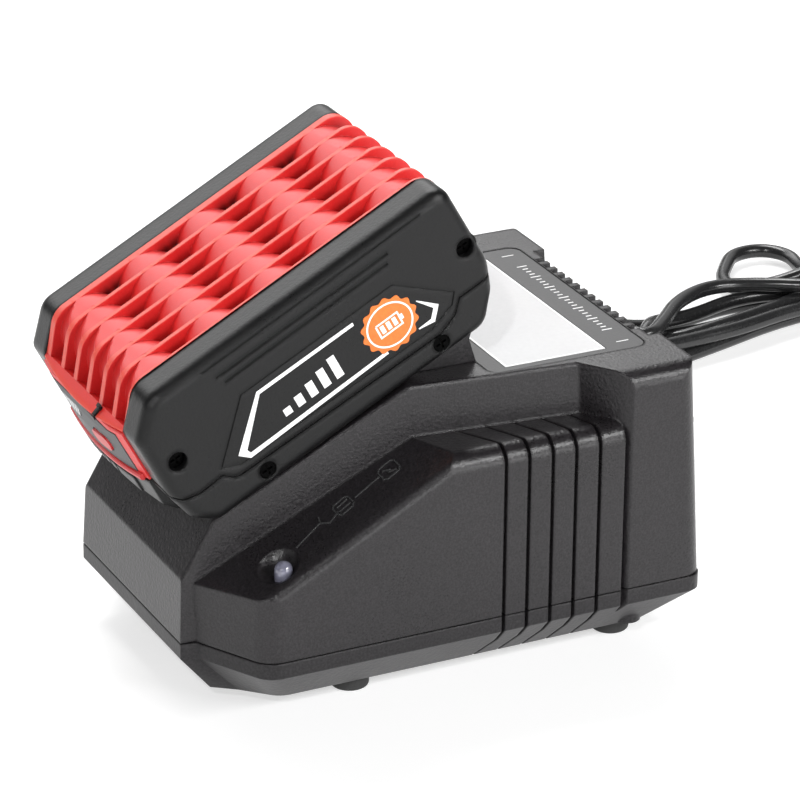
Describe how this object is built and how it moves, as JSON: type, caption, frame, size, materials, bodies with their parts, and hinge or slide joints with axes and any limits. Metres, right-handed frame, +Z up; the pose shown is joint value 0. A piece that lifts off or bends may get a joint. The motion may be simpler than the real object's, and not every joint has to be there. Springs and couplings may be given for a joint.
{
  "type": "power tool battery charger",
  "caption": "Wedge-shaped desk charger with side pods, an inclined dock and a folded mains cord, with a slide-on battery pack of rounded, finned cell bumps docked on it.",
  "frame": {"origin": "bottom centre of the charger with its docked pack, on the surface it stands on, measured without the cord", "axes": "+X to the rear, where the cord leaves; -X to the low front end of the dock; +Y to the side away from the status lens; +Z up"},
  "size_m": [0.4165, 0.2371, 0.1358],
  "materials": {
    "housing_black": "fine spark texture",
    "base_black": "fine spark texture",
    "pack_black": "satin grain",
    "pack_red": "satin",
    "gauge_grey": "satin",
    "button_red": "smooth",
    "smoke_window": "polished",
    "foot_rubber": "matt",
    "cord_rubber": "smooth",
    "panel_grey": "smooth",
    "sticker": "printed film",
    "lens": "milky",
    "led": "clear",
    "blade_metal": "plated",
    "board_green": "solder mask",
    "ferrite": "sintered",
    "tape_yellow": "tape",
    "cap_sleeve": "shrink film",
    "alu": "extruded",
    "chip_black": "moulded",
    "fuse_glass": "clear",
    "copper": "enamelled",
    "wire_red": "insulation",
    "screw_steel": "black zinc",
    "cell_case": "sleeved cell, density of a rolled cell",
    "holder_grey": "moulded",
    "nickel": "nickel strip",
    "spring_steel": "wire",
    "pin_nickel": "nickel plate"
  },
  "bodies": {
    "charger": {"blade_wires": "wire_red", "capacitors": "cap_sleeve", "contact_blades": "blade_metal", "contact_block": "base_black", "cord_clamp": "base_black", "cord_coil": "cord_rubber", "dock_rails": "base_black", "filter_choke": "copper", "fuse": "fuse_glass", "heat_sink": "alu", "housing_screws": "screw_steel", "label_panel": "panel_grey", "led_lens": "lens", "lower_housing": "base_black", "main_board": "board_green", "mains_cord": "cord_rubber", "plug_body": "cord_rubber", "plug_pins": "pin_nickel", "power_transistors": "chip_black", "rubber_feet": "foot_rubber", "status_led": "led", "strain_relief": "cord_rubber", "transformer_core": "ferrite", "transformer_winding": "tape_yellow", "upper_housing": "housing_black", "white_label": "sticker"},
    "pack": {"pack_cell_case": "pack_red", "pack_near_cover": "pack_black", "pack_far_cover": "pack_black", "pack_rail_shell": "pack_black", "battery_cells": "cell_case", "cell_holders": "holder_grey", "cell_straps": "nickel", "pack_board": "board_green", "pack_terminals": "blade_metal", "cover_screws": "screw_steel", "shell_screws": "screw_steel", "gauge_panel": "gauge_grey", "gauge_window": "smoke_window", "gauge_switch": "chip_black", "latch_spring": "spring_steel"},
    "gauge_button": {"gauge_button": "button_red"},
    "release_latch": {"release_latch": "pack_black"}
  },
  "joints": [
    {"name": "battery_slide", "type": "slide", "parent": "charger", "child": "pack", "axis": [-0.8793, 0, -0.4762], "range_m": [0, 0.09]},
    {"name": "gauge_press", "type": "slide", "parent": "pack", "child": "gauge_button", "axis": [0.8793, 0, 0.4762], "range_m": [0, 0.0009], "stiffness_N_per_m": 250, "springref_m": -0.002},
    {"name": "latch_press", "type": "slide", "parent": "pack", "child": "release_latch", "axis": [0.8793, 0, 0.4762], "range_m": [0, 0.002], "stiffness_N_per_m": 800, "springref_m": -0.002}
  ]
}
